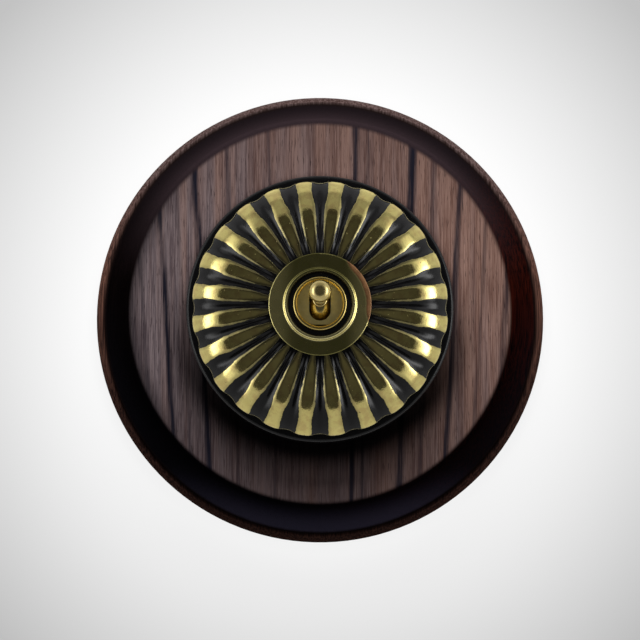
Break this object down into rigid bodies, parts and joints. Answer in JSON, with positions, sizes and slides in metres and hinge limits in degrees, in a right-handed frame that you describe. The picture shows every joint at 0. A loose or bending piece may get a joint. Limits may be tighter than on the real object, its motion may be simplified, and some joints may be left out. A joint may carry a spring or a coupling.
{
  "type": "dolly light switch",
  "caption": "Round dolly light switch: fluted brass dome with a small ball-ended lever in a ringed bush, on a black moulded base and a turned dark wood pattress.",
  "frame": {"origin": "middle of the pattress's back face, on the wall", "axes": "+Z out of the wall along the switch's own axis, +Y up the wall, +X to the right as seen from the front"},
  "size_m": [0.114, 0.114, 0.0514],
  "materials": {
    "dark_wood": "dark turned hardwood, waxed, with fine straight grain",
    "black_moulding": "glossy black moulding",
    "antique_brass": "polished crests over black lacquered hollows",
    "polished_brass": "turned and polished, lightly aged",
    "brushed_brass": "plain machined and brushed",
    "bright_steel": "bright drawn steel",
    "contact_silver": "bright silver rivet",
    "fibre": "plain turned fibre"
  },
  "bodies": {
    "housing": {"pattress": "dark_wood", "base": "black_moulding", "fluted_cover": "antique_brass", "bezel_ring": "polished_brass", "ring_nut": "polished_brass", "bush": "brushed_brass", "pivot_pin": "bright_steel", "common_contact": "brushed_brass", "upper_contact": "brushed_brass", "lower_contact": "brushed_brass", "fixed_contacts": "contact_silver", "common_terminal": "brushed_brass", "upper_terminal": "brushed_brass", "lower_terminal": "brushed_brass", "terminal_screws": "brushed_brass", "bridge": "brushed_brass", "bridge_screws": "bright_steel", "base_screws": "bright_steel"},
    "lever": {"dolly": "polished_brass", "plunger_spring": "bright_steel"},
    "plunger": {"plunger": "fibre"},
    "rocker": {"rocker": "brushed_brass", "rocker_contacts": "contact_silver"}
  },
  "joints": [
    {"name": "dolly_swing", "type": "hinge", "parent": "housing", "child": "lever", "pos_m": [0, 0, 0.0379], "axis": [1, 0, 0], "range_deg": [0, 24]},
    {"name": "plunger_slide", "type": "slide", "parent": "lever", "child": "plunger", "axis": [0, 0.2079, 0.9781], "range_m": [0, 0.0008], "stiffness_N_per_m": 400, "springref_m": -0.003, "deforming": ["plunger_spring"]},
    {"name": "rocker_tilt", "type": "hinge", "parent": "housing", "child": "rocker", "pos_m": [0, 0, 0.02625], "axis": [1, 0, 0], "range_deg": [-24, 0]}
  ],
  "couplings": [
    {"joint": "rocker_tilt", "follows": "dolly_swing", "ratio": -1}
  ]
}
